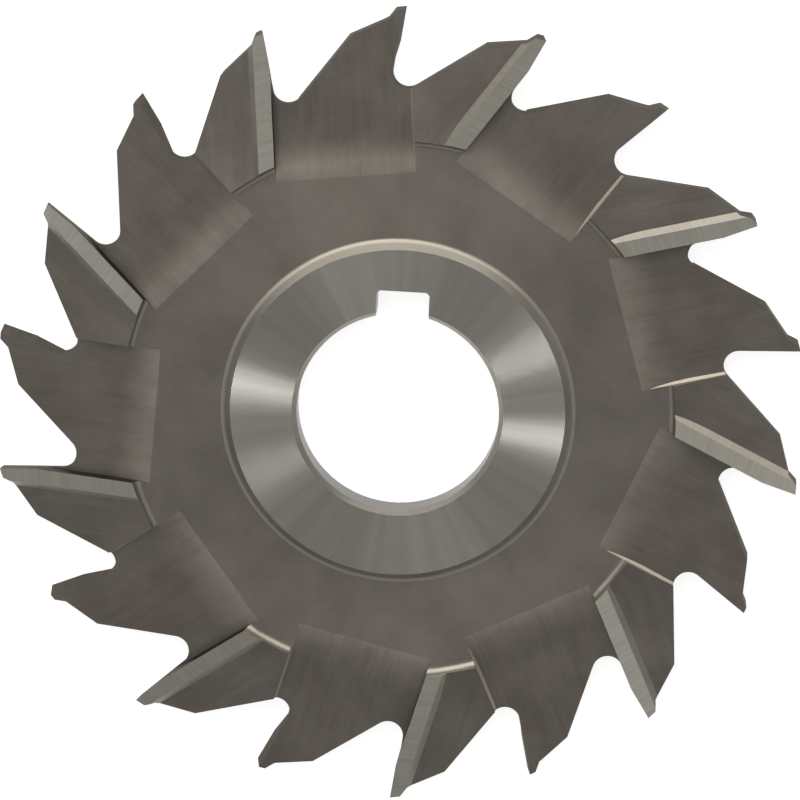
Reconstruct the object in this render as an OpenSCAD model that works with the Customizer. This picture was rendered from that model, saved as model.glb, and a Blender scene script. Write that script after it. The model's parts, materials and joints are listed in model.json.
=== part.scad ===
// Side and face milling cutter with staggered teeth, in one solid piece.
// Millimetres. The bore lies along Z, the keyway points along +Y, and Z = 0 is the middle of the width.
// Every second tooth cuts on the upper side, the teeth between them cut on the lower side.

/* [Body] */

// Diameter over the tooth tips
cutter_d = 101.6; // [98:0.2:106]

// Width over the side cutting edges and over the hub
face_w = 4.76; // [4.4:0.02:6.4]

// Outer diameter of the hub at its face
hub_d = 42; // [39:0.1:44]

// Inner diameter of the rim at its face
rim_d = 69.6; // [68:0.1:71]

// Depth of the turned recess between hub and rim, on each side
recess_depth = 1.15; // [0.8:0.05:1.3]

// Slope of the wall at the hub
hub_slope = 50; // [40:1:65]

// Fillet at the foot of the wall at the hub
hub_fillet = 0.9; // [0.3:0.05:1.1]

// Slope of the wall at the rim
rim_slope = 70; // [55:1:75]

// Fillet at the foot of the wall at the rim
rim_fillet = 0.95; // [0.3:0.05:1.1]

/* [Bore] */

// Diameter of the bore
bore_d = 25.4; // [22:0.1:27]

// Width of the bore chamfer, measured across the hub face
bore_chamfer = 0.55; // [0.3:0.05:0.8]

// Depth of the bore chamfer, measured along the axis
bore_chamfer_depth = 0.7; // [0.3:0.05:0.9]

// Width of the keyway
key_w = 6.6; // [5:0.1:8]

// Distance from the axis to the keyway floor
key_floor = 15.7; // [14.8:0.1:17]

// Fillet in the keyway corners
key_fillet = 0.6; // [0.3:0.1:1]

/* [Teeth] */

// Number of tooth pairs, one upper and one lower tooth each
tooth_pairs = 9; // [8:1:10]

// Angle from the middle of the keyway to the nearest tooth tip
key_to_tooth = 2; // [-6:0.1:6]

// Rake of the tooth face from the radius
radial_rake = 9; // [7:0.5:12]

// Lean of the tooth face along the axis, to one side and the other in turn
axial_rake = 8; // [5:0.5:12]

// Depth of the gullet below the tooth tip
gullet_depth = 9.7; // [8.5:0.1:10.5]

// Angle between the tooth face and the back of the tooth before it
gullet_angle = 48.5; // [45:0.5:52]

// Fillet at the bottom of the gullet
gullet_fillet = 1.9; // [1.2:0.05:2.2]

/* [Edge on the tip] */

// Width of the land behind the tip edge
land_w = 0.9; // [0.6:0.05:1.6]

// Relief of the land
land_relief = 7; // [3:0.5:10]

// Drop of the step behind the land
step_drop = 1.15; // [0.7:0.05:1.3]

// Slope of the step behind the land
step_slope = 52; // [35:1:70]

// Relief of the surface behind the step
back_relief = 24.5; // [18:0.5:28]

/* [Edge on the side] */

// Width of the land behind the side edge
side_land_w = 1.9; // [1.2:0.05:2.4]

// Relief of the side land
side_relief = 2; // [1:0.5:4]

// Depth of the side surface behind the step
side_step = 0.7; // [0.5:0.05:1]

// Slope of the step behind the side land
side_step_slope = 40; // [30:1:60]

// Relief of the side surface behind the step
side_back_relief = 2; // [0:0.5:3]

/* [Side gash] */

// Angle from the tooth tip to the run of the gash
gash_angle = 17; // [15:0.5:19]

// Distance below the tip at which the gash wall meets the tooth face
gash_meets_face = 4.4; // [3.5:0.1:5.5]

// Width of the gash
gash_w = 17.4; // [16:0.1:18.5]

// Depth of the gash below the side edge
gash_depth = 1.75; // [1.4:0.05:1.9]

// Rise of the gash floor, away from the side edge
gash_tilt = 0.4; // [0:0.1:0.8]

// Diameter of the curve in which gash and side surface run out towards the hub
run_out_d = 76; // [60:1:100]

// Distance from the axis at which the gash starts to run out
run_out_start = 36.5; // [35:0.1:38]

// Distance from the axis at which the side surface starts to run out
side_run_out_start = 35; // [33:0.1:36]

/* [Hidden] */

$fn = 96;

// How far cuts reach past the surface they open into
over = 3;

// Stock on the turned rim that the tooth cuts take off
stock = 0.2;

tip_r = cutter_d/2;
half_w = face_w/2;
tooth_pitch = 180/tooth_pairs;
first_tooth = key_to_tooth - tooth_pitch;
root_r = tip_r - gullet_depth;
web_z = half_w - recess_depth;

// Foot of the recess walls, where they would meet the floor without a fillet
hub_foot = hub_d/2 + recess_depth/tan(hub_slope);
rim_foot = rim_d/2 - recess_depth/tan(rim_slope);
hub_run = hub_fillet*tan(hub_slope/2);
rim_run = rim_fillet*tan(rim_slope/2);

// Gullet: the tooth face passes through the tip, the fillet touches it and the root circle
face_normal = [cos(radial_rake), -sin(radial_rake)];
face_line = [sin(radial_rake), cos(radial_rake)];
fillet_off = gullet_fillet - tip_r*sin(radial_rake);
fillet_up = sqrt(pow(root_r + gullet_fillet, 2) - pow(fillet_off, 2));
fillet_c = face_normal*fillet_off + face_line*fillet_up;
back_slope = 90 - radial_rake - gullet_angle;
back_line = [cos(back_slope), sin(back_slope)];
back_normal = [-sin(back_slope), cos(back_slope)];

// Side edge: where the gash wall runs, across the gash
face_x = half_w*tan(axial_rake) - gash_meets_face*tan(radial_rake);
edge_u = face_x*cos(gash_angle) - (tip_r - gash_meets_face)*sin(gash_angle);

module recess_section(side) {
    floor_z = side*web_z;
    out_z = side*(half_w + over);
    polygon([
        [hub_foot + hub_run, floor_z],
        [rim_foot - rim_run, floor_z],
        [rim_foot + rim_run*cos(rim_slope), floor_z + side*rim_run*sin(rim_slope)],
        [rim_foot + (recess_depth + over)/tan(rim_slope), out_z],
        [hub_foot - (recess_depth + over)/tan(hub_slope), out_z],
        [hub_foot - hub_run*cos(hub_slope), floor_z + side*hub_run*sin(hub_slope)]
    ]);
    translate([hub_foot + hub_run, floor_z + side*hub_fillet])
        circle(r = hub_fillet);
    translate([rim_foot - rim_run, floor_z + side*rim_fillet])
        circle(r = rim_fillet);
}

module blank() {
    rotate_extrude() difference() {
        polygon([
            [bore_d/2, -half_w + bore_chamfer_depth],
            [bore_d/2 + bore_chamfer, -half_w],
            [hub_foot, -half_w],
            [hub_foot, -half_w - stock],
            [tip_r + stock, -half_w - stock],
            [tip_r + stock, half_w + stock],
            [hub_foot, half_w + stock],
            [hub_foot, half_w],
            [bore_d/2 + bore_chamfer, half_w],
            [bore_d/2, half_w - bore_chamfer_depth]
        ]);
        recess_section(1);
        recess_section(-1);
    }
}

module keyway() {
    linear_extrude(face_w + 2*over, center = true) {
        translate([-key_w/2, 0])
            square([key_w, key_floor - key_fillet]);
        translate([-key_w/2 + key_fillet, 0])
            square([key_w - 2*key_fillet, key_floor]);
        for (x = [-1, 1])
            translate([x*(key_w/2 - key_fillet), key_floor - key_fillet])
                circle(r = key_fillet);
    }
}

// Space above the land of a tooth whose tip is on +Y, and the gullet before its face
module tooth_space() {
    land_reach = tip_r*sin(tooth_pitch)/2;
    gullet_reach = tip_r/2;
    polygon([
        [-land_reach, tip_r - land_reach*tan(land_relief)],
        [0, tip_r],
        fillet_c - face_normal*gullet_fillet,
        fillet_c - back_normal*gullet_fillet,
        fillet_c - back_normal*gullet_fillet + back_line*gullet_reach,
        [0, tip_r + 2*over],
        [-land_reach, tip_r + 2*over]
    ]);
    translate(fillet_c)
        circle(r = gullet_fillet);
}

// Space above the step behind the land, and above the back of the tooth
module back_space() {
    land_end = [-land_w, tip_r - land_w*tan(land_relief)];
    step_end = land_end - [step_drop/tan(step_slope), step_drop];
    back_reach = tip_r*sin(tooth_pitch)/2;
    polygon([
        step_end - [back_reach, back_reach*tan(back_relief)],
        step_end,
        land_end + [over/tan(step_slope), over],
        step_end + [-back_reach, 2*over]
    ]);
}

module tooth_cut() {
    rotate([0, axial_rake, 0])
        linear_extrude(2*face_w, center = true) tooth_space();
    linear_extrude(2*face_w, center = true) back_space();
}

// Cut left by a wheel that comes in from the rim and stops: flat, with a rounded end towards the hub
module wheel_cut(width, start) {
    wheel_r = run_out_d/2;
    rotate([90, 0, 90]) linear_extrude(width) {
        translate([start, 0])
            square([tip_r + over - start, 2*over]);
        translate([start, wheel_r])
            circle(r = wheel_r);
    }
}

module gash() {
    translate([edge_u, 0, half_w - gash_depth])
        rotate([0, -gash_tilt, 0]) wheel_cut(gash_w, run_out_start);
}

// Lowered surface behind the side land, with the step that leads down to it
module side_surface() {
    reach = gash_w*2/3;
    land_end = edge_u - side_land_w;
    step_end = land_end - side_step/tan(side_step_slope);
    intersection() {
        translate([step_end, 0, half_w - side_step])
            rotate([0, -side_back_relief, 0])
                translate([-2*reach, 0, 0]) wheel_cut(4*reach, side_run_out_start);
        translate([0, tip_r + over, half_w])
            rotate([90, 0, 0]) linear_extrude(tip_r + over) polygon([
                [land_end + over/tan(side_step_slope), over],
                [land_end - 2*over/tan(side_step_slope), -2*over],
                [step_end - reach, -2*over],
                [step_end - reach, over]
            ]);
    }
}

module side_land() {
    width = 2*side_land_w;
    translate([0, tip_r + over, half_w])
        rotate([90, 0, 0])
            linear_extrude(tip_r - hub_d/2 - over) polygon([
                [edge_u + over, over*tan(side_relief)],
                [edge_u + over, 2*over],
                [edge_u - width, 2*over],
                [edge_u - width, -width*tan(side_relief)]
            ]);
}

module side_cut() {
    rotate([0, 0, -gash_angle]) {
        gash();
        side_surface();
        side_land();
    }
}

module cutter() {
    color("DimGray") difference() {
        blank();
        keyway();
        for (pair = [0:tooth_pairs - 1])
            rotate([0, 0, first_tooth + 2*pair*tooth_pitch]) {
                tooth_cut();
                side_cut();
                rotate([0, 0, tooth_pitch]) mirror([0, 0, 1]) {
                    tooth_cut();
                    side_cut();
                }
            }
    }
}

cutter();
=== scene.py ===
import json
from math import cos, hypot, radians, sin, sqrt
import bpy
import bmesh
from mathutils import Matrix, Vector

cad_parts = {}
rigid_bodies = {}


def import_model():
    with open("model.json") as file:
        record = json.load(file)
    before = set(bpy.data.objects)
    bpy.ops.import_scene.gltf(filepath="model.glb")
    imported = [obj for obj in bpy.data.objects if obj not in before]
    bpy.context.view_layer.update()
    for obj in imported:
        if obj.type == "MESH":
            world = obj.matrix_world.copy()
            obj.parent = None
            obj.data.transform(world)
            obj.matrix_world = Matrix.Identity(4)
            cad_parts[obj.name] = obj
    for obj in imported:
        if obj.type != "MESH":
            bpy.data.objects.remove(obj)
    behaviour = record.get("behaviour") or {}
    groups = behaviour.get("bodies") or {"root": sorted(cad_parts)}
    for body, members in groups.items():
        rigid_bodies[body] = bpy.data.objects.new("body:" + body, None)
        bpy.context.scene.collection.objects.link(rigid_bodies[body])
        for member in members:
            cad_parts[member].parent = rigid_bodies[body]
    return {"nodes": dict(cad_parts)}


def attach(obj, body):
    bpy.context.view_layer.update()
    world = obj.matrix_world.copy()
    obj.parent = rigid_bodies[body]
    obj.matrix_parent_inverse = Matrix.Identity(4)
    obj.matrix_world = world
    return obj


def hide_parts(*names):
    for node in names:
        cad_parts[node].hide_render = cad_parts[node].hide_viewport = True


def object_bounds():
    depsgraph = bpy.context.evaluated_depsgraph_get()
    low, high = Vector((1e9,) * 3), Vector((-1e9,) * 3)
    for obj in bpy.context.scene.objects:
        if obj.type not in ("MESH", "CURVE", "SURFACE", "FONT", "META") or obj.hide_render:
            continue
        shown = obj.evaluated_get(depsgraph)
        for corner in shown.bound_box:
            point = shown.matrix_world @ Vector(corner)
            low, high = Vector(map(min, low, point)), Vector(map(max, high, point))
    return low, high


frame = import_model()
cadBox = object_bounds()
mm = 0.001
print("frame loaded")

# where the surfaces lie on the cutter, in millimetres and degrees, as the solid has them
layout = {
    "toothPairs": 9,
    "toothStep": 40.0,
    "upperGash": -35.0,  # turn of the first gash on the upper side
    "lowerGash": -15.0,
    "gashReach": -30.0,  # how far back across a gash its tooth may lie
    "gashFrom": -13.95,
    "gashTo": 3.49,  # place of the gash's wall away from the land, across the gash
    "hubTop": 20.9,  # just inside the outer edge of the hub's face
    "hubRadius": 21.2,
    "hubFillet": {"start": 22.385, "size": 0.9, "slope": 50.0, "steps": 5},
    "innerWeb": 27.0,
    "rimFillet": {"start": 33.716, "size": 0.95},
    "rimRadius": 34.9,
    "webHeight": 1.23,
    "landHeight": 2.2,
}

# limits that tell the surfaces apart
limits = {
    "level": 0.995,  # upright share of a face's direction, from the flattest to the steepest
    "flat": 0.99,
    "rimWall": 0.98,
    "floor": 0.9,
    "step": 0.6,
    "gullet": 0.5,
    "chamfer": 0.3,
    "upright": 0.2,
    "facing": 0.9,  # share of a face's direction across its gash
    "swirl": 0.04,  # share of a face's direction round the axis
    "parallel": 0.1,  # share of a face's direction across its marks
    "hollow": -60.0,  # degrees between two faces in a hollow corner
    "pastWall": 0.1,  # millimetres from here on
    "offWall": 0.05,
    "offFloor": 0.03,
    "offRing": 0.01,
    "offWeb": 0.002,
}
rounding = {
    "weld": 0.001*mm,
    "width": 0.06*mm,
    "segments": 2,
    "flatBelow": 0.4,  # degrees between two faces from here on
    "sharpFrom": 24.0,
    "smoothBelow": 40.0,
}
gashFoot = {"forward": 0.35*mm, "top": 1.1*mm}
grinding = {"landSlant": 12.0, "seedStep": 3.7}  # turn of the lands' marks, and seed from gash to gash
zones = ["hubTurned", "webTurned", "gashGround", "sideGround", "landGround", "bevelGround", "wallPaintedHighlight",
         "toothGround", "boreGround"]


def gashAt(point, upper):
    # the gash that a point of the rim belongs to: millimetres across it, its number and its turn
    start = layout["upperGash"] if upper else layout["lowerGash"]
    found = None
    for number in range(layout["toothPairs"]):
        turn = radians(start + number*layout["toothStep"])
        across = (point.x*cos(turn) + point.y*sin(turn))/mm
        along = point.y*cos(turn) - point.x*sin(turn)
        if along > 0 and layout["gashReach"] < across < layout["gashTo"] + limits["pastWall"]:
            if found is None or across > layout["gashFrom"]:
                found = (across, number, turn)
    return found


def gashSide(turn):
    return Vector((cos(turn), sin(turn), 0))


def onGashWall(gash):
    return gash is not None and abs(gash[0] - layout["gashTo"]) < limits["offWall"]


def onTurnedFloor(radius, height):
    # the web and the hollow at its outer edge
    start, size = layout["rimFillet"]["start"], layout["rimFillet"]["size"]
    lift = radius - start
    rise = size - sqrt(size**2 - lift**2) if 0 < lift < size else 0
    return lift < size and abs(height - layout["webHeight"] - rise) < limits["offFloor"]


def zoneOf(face):
    centre = face.calc_center_median()
    middle = centre/mm
    height, level = abs(middle.z), abs(face.normal.z)
    radius = hypot(middle.x, middle.y)
    reach = max(hypot(v.co.x, v.co.y) for v in face.verts)/mm
    swirl = abs(face.normal.dot(Vector((-middle.y, middle.x, 0))/radius))
    if reach < layout["hubRadius"]:
        if level > limits["flat"]:
            return "hubTurned"
        return "bevelGround" if level > limits["chamfer"] else "boreGround"
    if radius < layout["innerWeb"] or onTurnedFloor(radius, height):
        return "webTurned"
    if level > limits["flat"] and height > layout["landHeight"]:
        return "landGround"
    if reach < layout["rimRadius"] and swirl < limits["swirl"] and level < limits["rimWall"]:
        return "webTurned"
    gash = gashAt(centre, centre.z > 0)
    onWall = level < limits["upright"] and onGashWall(gash)
    if onWall and face.normal.dot(gashSide(gash[2])) < -limits["facing"]:
        return "wallPaintedHighlight"
    if level > limits["floor"]:
        return "gashGround" if gash and gash[0] > layout["gashFrom"] else "sideGround"
    return "bevelGround" if level > limits["step"] else "toothGround"


def turnHubFoot(bm):
    # the wall at the hub and its fillet, turned again in even steps
    fillet = layout["hubFillet"]
    inner, outer = layout["hubTop"]*mm, (fillet["start"] + limits["offRing"])*mm
    old = [f for f in bm.faces if abs(f.normal.z) < limits["level"]
           and all(inner < hypot(v.co.x, v.co.y) < outer for v in f.verts)]
    bmesh.ops.delete(bm, geom=old, context="FACES")
    border = [e for e in bm.edges if e.is_boundary]
    for side in (1, -1):
        here = [e for e in border if e.verts[0].co.z*side > 0]
        hubEdge = [e for e in here if e.verts[0].co.xy.length < layout["hubRadius"]*mm]
        ring = [e for e in here if e.verts[0].co.xy.length > layout["hubRadius"]*mm]
        for step in range(1, fillet["steps"] + 1):
            angle = radians(fillet["slope"]*step/fillet["steps"])
            radius = fillet["start"] - fillet["size"]*sin(angle)
            height = layout["webHeight"] + fillet["size"]*(1 - cos(angle))
            fresh = bmesh.ops.extrude_edge_only(bm, edges=ring)["geom"]
            ring = [g for g in fresh if isinstance(g, bmesh.types.BMEdge) and g.is_boundary]
            for vert in {v for e in ring for v in e.verts}:
                outward = Vector((vert.co.x, vert.co.y, 0)).normalized()
                vert.co = (outward*radius + Vector((0, 0, side*height)))*mm
        bmesh.ops.bridge_loops(bm, edges=ring + hubEdge)
    bmesh.ops.recalc_face_normals(bm, faces=bm.faces)
    bm.normal_update()
    print("hub foot turned:", len(old), "faces replaced,", sum(e.is_boundary for e in bm.edges), "edges open")


def joinFlatFaces(bm):
    # the solid's triangles become whole faces again, always in the same order
    limit = radians(rounding["flatBelow"])
    flat = [e for e in bm.edges if e.calc_face_angle() < limit
            and e.link_faces[0].material_index == e.link_faces[1].material_index]
    bmesh.ops.dissolve_edges(bm, edges=flat, use_verts=False, use_face_split=False)
    straight = [v for v in bm.verts if len(v.link_edges) == 2 and v.calc_edge_angle() < limit]
    bmesh.ops.dissolve_verts(bm, verts=straight)
    print("faces after joining:", len(bm.faces))


def sortFaces(bm):
    # every face gets its zone's finish
    webTop = (layout["webHeight"] + limits["offWeb"])*mm
    for face in bm.faces:
        face.material_index = zones.index(zoneOf(face))
        if zones[face.material_index] == "webTurned" and max(abs(v.co.z) for v in face.verts) > webTop:
            face.material_index += len(zones)  # keeps the curved walls apart from the flat web
    joinFlatFaces(bm)
    for face in bm.faces:
        face.material_index %= len(zones)


def inGashCorner(edge):
    # the hollow corner between a gash's floor and its wall away from the land
    if edge.calc_face_angle_signed() > radians(limits["hollow"]):
        return False
    middle = (edge.verts[0].co + edge.verts[1].co)/2
    return onGashWall(gashAt(middle, middle.z > 0))


def footShift(vert):
    # how far a corner at the foot of a gash's wall comes forward
    beside = gashSide(gashAt(vert.co, vert.co.z > 0)[2])
    shift = beside*-min(gashFoot["forward"], max(0, gashFoot["top"] - abs(vert.co.z)))
    for face in vert.link_faces:
        if abs(face.normal.z) < limits["gullet"] and abs(face.normal.dot(beside)) < limits["facing"]:
            shift -= face.normal*shift.dot(face.normal)  # stays on the gullet
    return shift


def leanGashWalls(bm):
    # the foot of the wall comes forward, as the worn corner of the wheel leaves it
    for side in (1, -1):
        walls = [f for f in bm.faces if zones[f.material_index] == "wallPaintedHighlight"
                 and f.calc_center_median().z*side > 0]
        chosen = set(walls)
        borders = [e for e in bm.edges if not chosen.isdisjoint(e.link_faces)]
        corners = [v for v in bm.verts if not chosen.isdisjoint(v.link_faces)]
        bmesh.ops.bisect_plane(bm, geom=walls + borders + corners, plane_co=(0, 0, side*gashFoot["top"]),
                               plane_no=(0, 0, 1))
    bm.normal_update()
    feet = [v for v in bm.verts if any(inGashCorner(e) for e in v.link_edges)]
    shifts = [footShift(v) for v in feet]
    for vert, shift in zip(feet, shifts):
        bmesh.ops.translate(bm, verts=[vert], vec=shift)
    bm.normal_update()
    print("gash wall corners moved:", len(feet))


def roundEdges(bm):
    sharp = [e for e in bm.edges if e.calc_face_angle() > radians(rounding["sharpFrom"])]
    bmesh.ops.bevel(bm, geom=sharp, offset=rounding["width"], offset_type="OFFSET", affect="EDGES",
                    segments=rounding["segments"], profile=0.5, material=-1, clamp_overlap=True)
    bm.normal_update()
    print("edges rounded:", len(sharp))


def grindRun(zone, turn):
    # the way that a zone's grinding marks run
    if zone in ("toothGround", "boreGround"):
        return Vector((0, 0, 1))
    run = Vector((-sin(turn), cos(turn), 0))
    if zone in ("landGround", "bevelGround"):
        return Matrix.Rotation(radians(90 + grinding["landSlant"]), 3, "Z") @ run
    return run


def markFaces(bm):
    # each corner holds its place across and along the marks, in millimetres, and a seed for its gash
    marks = bm.loops.layers.float_vector.new("grindMarks")
    for face in bm.faces:
        face.smooth = True
        gash = gashAt(face.calc_center_median(), face.normal.z > 0)
        number, turn = gash[1:] if gash else (0, 0)
        run = grindRun(zones[face.material_index], turn)
        beside = run.cross(face.normal)
        if beside.length < limits["parallel"]:
            beside = run.orthogonal()
        beside.normalize()
        seed = grinding["seedStep"]*number + face.material_index
        for corner in face.loops:
            spot = corner.vert.co/mm
            corner[marks] = (spot.dot(beside), spot.dot(run), seed)
    for edge in bm.edges:
        edge.smooth = edge.calc_face_angle() < radians(rounding["smoothBelow"])


def makeBody():
    bm = bmesh.new()
    bm.from_mesh(frame["nodes"]["cutter"].data)
    bmesh.ops.remove_doubles(bm, verts=bm.verts, dist=rounding["weld"])
    bm.normal_update()
    turnHubFoot(bm)
    sortFaces(bm)
    leanGashWalls(bm)
    roundEdges(bm)
    markFaces(bm)
    mesh = bpy.data.meshes.new("cutterBody")
    bm.to_mesh(mesh)
    bm.free()
    body = bpy.data.objects.new("cutterBody", mesh)
    bpy.context.scene.collection.objects.link(body)
    flat = body.modifiers.new("flatFaces", "WEIGHTED_NORMAL")  # large faces keep their own direction
    flat.keep_sharp = True
    print("body:", len(mesh.polygons), "faces")
    return body


def newGroup(name, inputs, outputs):
    # a node group with numbers for inputs, beside the place it reads, and numbers for outputs
    group = bpy.data.node_groups.new(name, "ShaderNodeTree")
    group.interface.new_socket("Vector", in_out="INPUT", socket_type="NodeSocketVector")
    for label, value in inputs.items():
        group.interface.new_socket(label, in_out="INPUT", socket_type="NodeSocketFloat").default_value = value
    for label in outputs:
        group.interface.new_socket(label, in_out="OUTPUT", socket_type="NodeSocketFloat")
    return group, group.nodes.new("NodeGroupInput"), group.nodes.new("NodeGroupOutput")


def addNode(tree, kind, settings=None, values=None):
    node = tree.nodes.new(kind)
    for key, value in (settings or {}).items():
        setattr(node, key, value)
    for key, value in (values or {}).items():
        node.inputs[key].default_value = value
    return node


def feed(tree, socket, value):
    # a socket takes a link, a number or a colour
    if isinstance(value, bpy.types.NodeSocket):
        tree.links.new(value, socket)
    else:
        socket.default_value = (*value, 1.0) if isinstance(value, tuple) else value


def addMath(tree, operation, first, second, clamp=False):
    node = addNode(tree, "ShaderNodeMath", {"operation": operation, "use_clamp": clamp})
    feed(tree, node.inputs[0], first)
    feed(tree, node.inputs[1], second)
    return node.outputs[0]


def addMix(tree, kind, factor, first, second):
    # blends two numbers or two colours, which have sockets of their own on the node
    slot, result = {"FLOAT": (2, 0), "RGBA": (6, 2)}[kind]
    node = addNode(tree, "ShaderNodeMix", {"data_type": kind})
    feed(tree, node.inputs[0], factor)
    feed(tree, node.inputs[slot], first)
    feed(tree, node.inputs[slot + 1], second)
    return node.outputs[result]


def weigh(tree, first, second, share, clamp=False):
    # two patterns added, the first with this share of the whole
    return addMath(tree, "ADD", addMath(tree, "MULTIPLY", first, share),
                   addMath(tree, "MULTIPLY", second, 1.0 - share), clamp)


def spreadOf(tree, value, span):
    node = addNode(tree, "ShaderNodeMapRange", {"interpolation_type": "SMOOTHSTEP"},
                   {"From Min": span[0], "From Max": span[1]})
    tree.links.new(value, node.inputs["Value"])
    return node.outputs["Result"]


def addNoise(tree, place, scale, look, kind):
    # noise at a place, spread over the part of its range that is used
    noise = addNode(tree, "ShaderNodeTexNoise", None,
                    {"Scale": scale, "Detail": kind["detail"], "Roughness": look["rough"]})
    tree.links.new(place, noise.inputs["Vector"])
    return spreadOf(tree, noise.outputs["Fac"], kind["span"])


def flatPlace(tree, place):
    # a place without its height, which is also the way out from the axis
    split = addNode(tree, "ShaderNodeSeparateXYZ")
    tree.links.new(place, split.inputs[0])
    flat = addNode(tree, "ShaderNodeCombineXYZ")
    for axis in ("X", "Y"):
        tree.links.new(split.outputs[axis], flat.inputs[axis])
    return flat.outputs[0]


# the shared patterns: how much detail each noise has and which part of its range is used
patterns = {
    "scratches": {"rough": 0.65, "fineness": 4.0, "length": 20.0, "kinds": {
        "Fine": {"ratio": 1.0, "detail": 3.0, "span": (0.24, 0.76)},
        "Broad": {"ratio": 0.22, "detail": 2.0, "span": (0.24, 0.76)}}},
    "patina": {"rough": 0.6, "kinds": {
        "Clouds": {"scale": 120.0, "detail": 4.0, "span": (0.32, 0.68)},
        "Specks": {"scale": 1600.0, "detail": 2.0, "span": (0.3, 0.7)}}},
    "rings": {"rough": 0.7, "detail": 3.0, "span": (0.24, 0.76), "fineness": 5000.0},
    "sweeps": {"rough": 0.6, "detail": 3.0, "span": (0.24, 0.76), "scale": 9.0},
}


def makeGrindGroup():
    # long fine scratches that run along the second axis of the marks
    look = patterns["scratches"]
    group, start, end = newGroup("grindScratches", {"Fineness": look["fineness"], "Length": look["length"]},
                                 look["kinds"])
    fineness = start.outputs["Fineness"]
    split = addNode(group, "ShaderNodeSeparateXYZ")
    group.links.new(start.outputs["Vector"], split.inputs[0])
    for label, kind in look["kinds"].items():
        join = addNode(group, "ShaderNodeCombineXYZ")
        scale = addMath(group, "MULTIPLY", fineness, kind["ratio"])
        feed(group, join.inputs["X"], addMath(group, "MULTIPLY", split.outputs["X"], scale))
        along = addMath(group, "MULTIPLY", split.outputs["Y"], fineness)
        feed(group, join.inputs["Y"], addMath(group, "DIVIDE", along, start.outputs["Length"]))
        feed(group, join.inputs["Z"], split.outputs["Z"])
        group.links.new(addNoise(group, join.outputs[0], 1.0, look, kind), end.inputs[label])
    return group


def makePatinaGroup():
    # cloudy tint and fine speckle of the steel's skin
    look = patterns["patina"]
    group, start, end = newGroup("steelPatina", {}, look["kinds"])
    place = start.outputs["Vector"]
    for label, kind in look["kinds"].items():
        group.links.new(addNoise(group, place, kind["scale"], look, kind), end.inputs[label])
    return group


def makeTurnedGroup():
    # rings of a turned face, soft sweeps along its radius, and the radius itself
    ringLook, sweepLook = patterns["rings"], patterns["sweeps"]
    group, start, end = newGroup("turnedRings", {}, ["Rings", "Sweep", "Radius"])
    flat = flatPlace(group, start.outputs["Vector"])
    length = addNode(group, "ShaderNodeVectorMath", {"operation": "LENGTH"})
    group.links.new(flat, length.inputs[0])
    radius = length.outputs["Value"]
    group.links.new(radius, end.inputs["Radius"])
    rings = addNode(group, "ShaderNodeTexNoise", {"noise_dimensions": "1D"},
                    {"Scale": 1.0, "Detail": ringLook["detail"], "Roughness": ringLook["rough"]})
    group.links.new(addMath(group, "MULTIPLY", radius, ringLook["fineness"]), rings.inputs["W"])
    group.links.new(spreadOf(group, rings.outputs["Fac"], ringLook["span"]), end.inputs["Rings"])
    outward = addNode(group, "ShaderNodeVectorMath", {"operation": "NORMALIZE"})
    group.links.new(flat, outward.inputs[0])
    sweep = addNoise(group, outward.outputs[0], sweepLook["scale"], sweepLook, sweepLook)
    group.links.new(sweep, end.inputs["Sweep"])
    return group


# each finish: colours of its dark and light marks, its gloss, and how its marks lie
finishes = {
    "hubTurned": {
        "dark": (0.405, 0.382, 0.346), "light": (0.495, 0.473, 0.437), "rough": (0.17, 0.195),
        "turned": True, "anisotropic": 1.0, "bump": 0.02, "fine": 0.2, "clouds": 0.15},
    "webTurned": {
        "dark": (0.178, 0.161, 0.142), "light": (0.245, 0.224, 0.2), "rough": (0.5, 0.58),
        "turned": True, "anisotropic": 0.3, "bump": 0.04, "fine": 0.5, "clouds": 0.6,
        "walls": {"hub": (22.35, 22.1), "rim": (33.9, 34.2),  # radii over which the walls' painted highlight and their own gloss come in
                  "colour": (0.39, 0.365, 0.322), "rough": 0.42}},
    "gashGround": {
        "dark": (0.136, 0.121, 0.106), "light": (0.214, 0.194, 0.173), "rough": (0.52, 0.6),
        "fineness": 3.2, "length": 26.0, "bump": 0.08, "fine": 0.55, "clouds": 0.45,
        "runOut": {"span": (35.5, 30.2), "lift": 0.6}},
    "sideGround": {
        "dark": (0.141, 0.126, 0.111), "light": (0.221, 0.2, 0.179), "rough": (0.46, 0.54),
        "fineness": 3.2, "length": 26.0, "bump": 0.08, "fine": 0.55, "clouds": 0.45},
    "landGround": {
        "dark": (0.35, 0.33, 0.286), "light": (0.46, 0.439, 0.388), "rough": (0.285, 0.305),
        "fineness": 3.6, "length": 30.0, "bump": 0.02, "fine": 0.7, "clouds": 0.1},
    "bevelGround": {
        "dark": (0.275, 0.257, 0.226), "light": (0.362, 0.341, 0.302), "rough": (0.34, 0.4),
        "fineness": 3.6, "length": 30.0, "bump": 0.02, "fine": 0.6, "clouds": 0.3},
    # the gash's far wall: ground metal whose light colours are a painted highlight standing for the light
    # that the wall and its foot catch
    "wallPaintedHighlight": {
        "dark": (0.48, 0.44, 0.388), "light": (0.62, 0.57, 0.506), "rough": (0.46, 0.54),
        "fineness": 3.0, "length": 14.0, "bump": 0.02, "fine": 0.5, "clouds": 0.4},
    "toothGround": {
        "dark": (0.076, 0.069, 0.062), "light": (0.15, 0.14, 0.128), "rough": (0.36, 0.48),
        "fineness": 3.0, "length": 14.0, "bump": 0.10, "fine": 0.55, "clouds": 0.35,
        "edgeTint": (0.5, 0.48, 0.455)},  # at a flat view
    "boreGround": {
        "dark": (0.14, 0.137, 0.132), "light": (0.2, 0.196, 0.19), "rough": (0.28, 0.38),
        "fineness": 4.0, "length": 10.0, "bump": 0.06, "fine": 0.55, "clouds": 0.25},
}
skin = {"linesInGloss": 0.6, "markDepth": 0.05*mm, "edgeTint": (1.0, 1.0, 1.0)}


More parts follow.
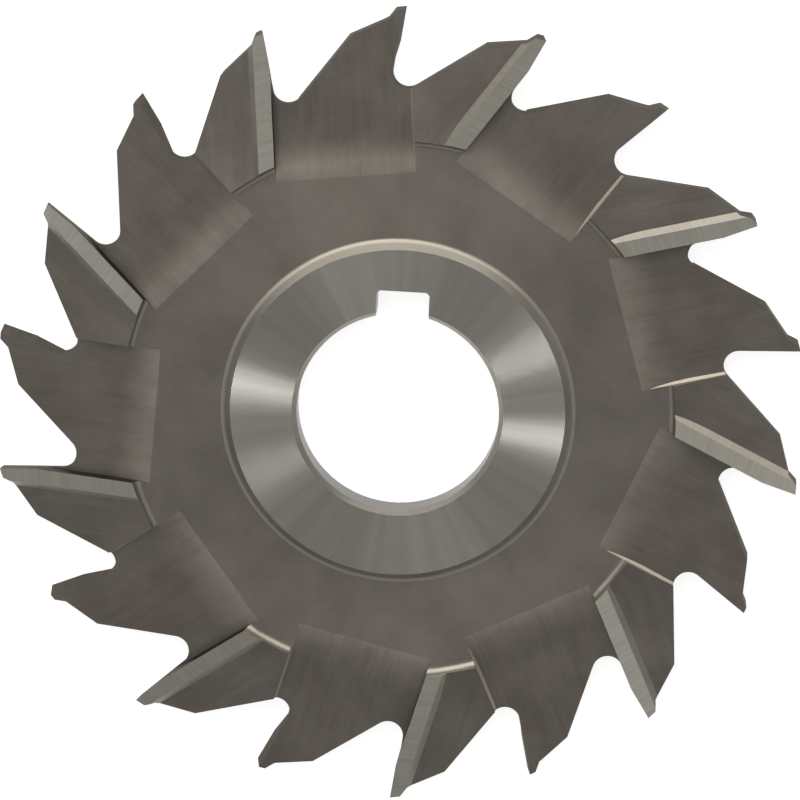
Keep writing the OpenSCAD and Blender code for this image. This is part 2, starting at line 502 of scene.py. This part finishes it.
def paintWallHighlightAndGloss(tree, walls, radius, colour, rough):
    # painted highlight on the turned walls at both edges of the web, with the walls' own gloss
    inner = spreadOf(tree, radius, [r*mm for r in walls["hub"]])
    outer = spreadOf(tree, radius, [r*mm for r in walls["rim"]])
    wallHighlightMask = addMath(tree, "MAXIMUM", inner, outer)
    colour = addMix(tree, "RGBA", wallHighlightMask, colour, walls["colour"])
    rough = addMix(tree, "FLOAT", wallHighlightMask, rough, walls["rough"])
    return colour, rough


def liftRunOut(tree, ends, place, colour):
    # lighter colour towards the gash's end
    split = addNode(tree, "ShaderNodeSeparateXYZ")
    tree.links.new(place, split.inputs[0])
    near = spreadOf(tree, split.outputs["Y"], ends["span"])
    lift = addNode(tree, "ShaderNodeVectorMath", {"operation": "SCALE"})
    tree.links.new(colour, lift.inputs[0])
    gain = addMath(tree, "ADD", addMath(tree, "MULTIPLY", near, ends["lift"]), 1.0)
    tree.links.new(gain, lift.inputs["Scale"])
    return lift.outputs[0]


def makeFinish(name, look, groups):
    material = bpy.data.materials.new(name)
    material.use_nodes = True
    tree = material.node_tree
    steel = tree.nodes["Principled BSDF"]
    steel.inputs["Metallic"].default_value = 1.0
    steel.inputs["Anisotropic"].default_value = look.get("anisotropic", 0.0)
    steel.inputs["Specular Tint"].default_value = (*look.get("edgeTint", skin["edgeTint"]), 1.0)
    place = addNode(tree, "ShaderNodeTexCoord").outputs["Object"]
    patina = addNode(tree, "ShaderNodeGroup", {"node_tree": groups["patina"]})
    tree.links.new(place, patina.inputs["Vector"])
    if look.get("turned"):
        marks = addNode(tree, "ShaderNodeGroup", {"node_tree": groups["turned"]})
        tree.links.new(place, marks.inputs["Vector"])
        tree.links.new(flatPlace(tree, place), steel.inputs["Tangent"])
    else:
        place = addNode(tree, "ShaderNodeAttribute", {"attribute_name": "grindMarks"}).outputs["Vector"]
        marks = addNode(tree, "ShaderNodeGroup", {"node_tree": groups["grind"]},
                        {"Fineness": look["fineness"], "Length": look["length"]})
        tree.links.new(place, marks.inputs["Vector"])
    lines = weigh(tree, marks.outputs[0], marks.outputs[1], look["fine"])  # fine marks first, then broad ones
    shade = weigh(tree, patina.outputs["Clouds"], lines, look["clouds"], True)
    colour = addMix(tree, "RGBA", shade, look["dark"], look["light"])
    gloss = weigh(tree, lines, patina.outputs["Specks"], skin["linesInGloss"])
    rough = addMix(tree, "FLOAT", gloss, look["rough"][0], look["rough"][1])
    if "walls" in look:
        colour, rough = paintWallHighlightAndGloss(tree, look["walls"], marks.outputs["Radius"], colour, rough)
    if "runOut" in look:
        colour = liftRunOut(tree, look["runOut"], place, colour)
    tree.links.new(colour, steel.inputs["Base Color"])
    tree.links.new(rough, steel.inputs["Roughness"])
    bump = addNode(tree, "ShaderNodeBump", None, {"Strength": look["bump"], "Distance": skin["markDepth"]})
    tree.links.new(lines, bump.inputs["Height"])
    tree.links.new(bump.outputs["Normal"], steel.inputs["Normal"])
    return material


body = makeBody()
groups = {"grind": makeGrindGroup(), "patina": makePatinaGroup(), "turned": makeTurnedGroup()}
for name in zones:
    body.data.materials.append(makeFinish(name, finishes[name], groups))
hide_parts("cutter")
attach(body, "root")
print("finishes:", ", ".join(zones))

table = {"halfSize": 1.5, "gap": 0.02*mm, "colour": (0.4, 0.4, 0.4), "rough": 0.9, "glow": 0.85}


def makePaper():
    # white where it is looked at, plain grey to the light that falls on it
    material = bpy.data.materials.new("whitePaper")
    material.use_nodes = True
    tree = material.node_tree
    paper = tree.nodes["Principled BSDF"]
    paper.inputs["Base Color"].default_value = (*table["colour"], 1.0)
    paper.inputs["Roughness"].default_value = table["rough"]
    paper.inputs["Specular IOR Level"].default_value = 0.0
    paper.inputs["Emission Color"].default_value = (1, 1, 1, 1)
    path = addNode(tree, "ShaderNodeLightPath")
    mirrored = addMath(tree, "MAXIMUM", path.outputs["Is Glossy Ray"], path.outputs["Is Transmission Ray"])
    seen = addMath(tree, "MAXIMUM", path.outputs["Is Camera Ray"], mirrored)
    tree.links.new(addMath(tree, "MULTIPLY", seen, table["glow"]), paper.inputs["Emission Strength"])
    return material


def makeTable():
    bm = bmesh.new()
    bmesh.ops.create_grid(bm, x_segments=1, y_segments=1, size=table["halfSize"])
    bmesh.ops.translate(bm, verts=bm.verts, vec=(0, 0, cadBox[0].z - table["gap"]))
    mesh = bpy.data.meshes.new("table")
    bm.to_mesh(mesh)
    bm.free()
    mesh.materials.append(makePaper())
    top = bpy.data.objects.new("table", mesh)
    bpy.context.scene.collection.objects.link(top)


makeTable()
print("table in place")

# lamps by direction from the bore, distance in metres, size, power and colour
lamps = {
    "window": {"toward": (-0.15, 0.81, 0.56), "far": 0.95, "size": (1.8, 1.0), "power": 8.8,
               "colour": (1.0, 0.965, 0.9)},
    "skylight": {"toward": (-0.18, 0.38, 0.91), "far": 1.0, "size": (0.5, 0.5), "power": 1.3,
                 "colour": (1.0, 0.975, 0.93)},
    "leftLamp": {"toward": (-0.30, -0.218, 0.929), "far": 1.2, "size": (0.02, 0.02), "power": 0.25,
                 "colour": (0.97, 0.99, 1.0)},
    "farLamp": {"toward": (0.22, -0.278, 0.935), "far": 1.2, "size": (0.02, 0.02), "power": 0.23,
                "colour": (0.97, 0.99, 1.0)},
    "rightLamp": {"toward": (0.065, -0.202, 0.977), "far": 1.2, "size": (0.02, 0.02), "power": 0.06,
                  "colour": (0.98, 0.99, 1.0)},
}
room = {"above": (0.31, 0.307, 0.30), "around": (0.46, 0.452, 0.438)}


def makeLamps():
    for name, lamp in lamps.items():
        light = bpy.data.lights.new(name, "AREA")
        light.shape = "RECTANGLE"
        light.size, light.size_y = lamp["size"]
        light.energy = lamp["power"]
        light.color = lamp["colour"]
        holder = bpy.data.objects.new(name, light)
        direction = Vector(lamp["toward"]).normalized()
        holder.location = direction*lamp["far"]
        holder.rotation_euler = direction.to_track_quat("Z", "Y").to_euler()
        bpy.context.scene.collection.objects.link(holder)


def makeRoom():
    # pale walls all round and a darker ceiling
    world = bpy.data.worlds.new("room")
    world.use_nodes = True
    tree = world.node_tree
    split = addNode(tree, "ShaderNodeSeparateXYZ")
    tree.links.new(addNode(tree, "ShaderNodeTexCoord").outputs["Generated"], split.inputs[0])
    fade = addMix(tree, "RGBA", split.outputs["Z"], room["around"], room["above"])
    tree.links.new(fade, tree.nodes["Background"].inputs["Color"])
    bpy.context.scene.world = world


makeLamps()
makeRoom()
print("lights:", ", ".join(lamps))

view = {"aim": (0.000148, 0.001082, -0.000294), "place": (0.02522, 0.15148, 0.56524),
        "up": (-0.06, 0.96532, -0.25406), "lens": 210.0, "sensor": 36.0, "nearest": 0.01}


def makeCamera():
    camera = bpy.data.cameras.new("camera")
    camera.lens = view["lens"]
    camera.sensor_width = view["sensor"]
    camera.clip_start = view["nearest"]
    holder = bpy.data.objects.new("camera", camera)
    back = (Vector(view["place"]) - Vector(view["aim"])).normalized()
    right = Vector(view["up"]).cross(back).normalized()
    turn = Matrix((right, back.cross(right), back)).transposed()
    holder.matrix_world = Matrix.Translation(view["place"]) @ turn.to_4x4()
    bpy.context.scene.collection.objects.link(holder)
    bpy.context.scene.camera = holder


makeCamera()
bpy.context.scene.view_settings.view_transform = "Standard"
print("camera set")
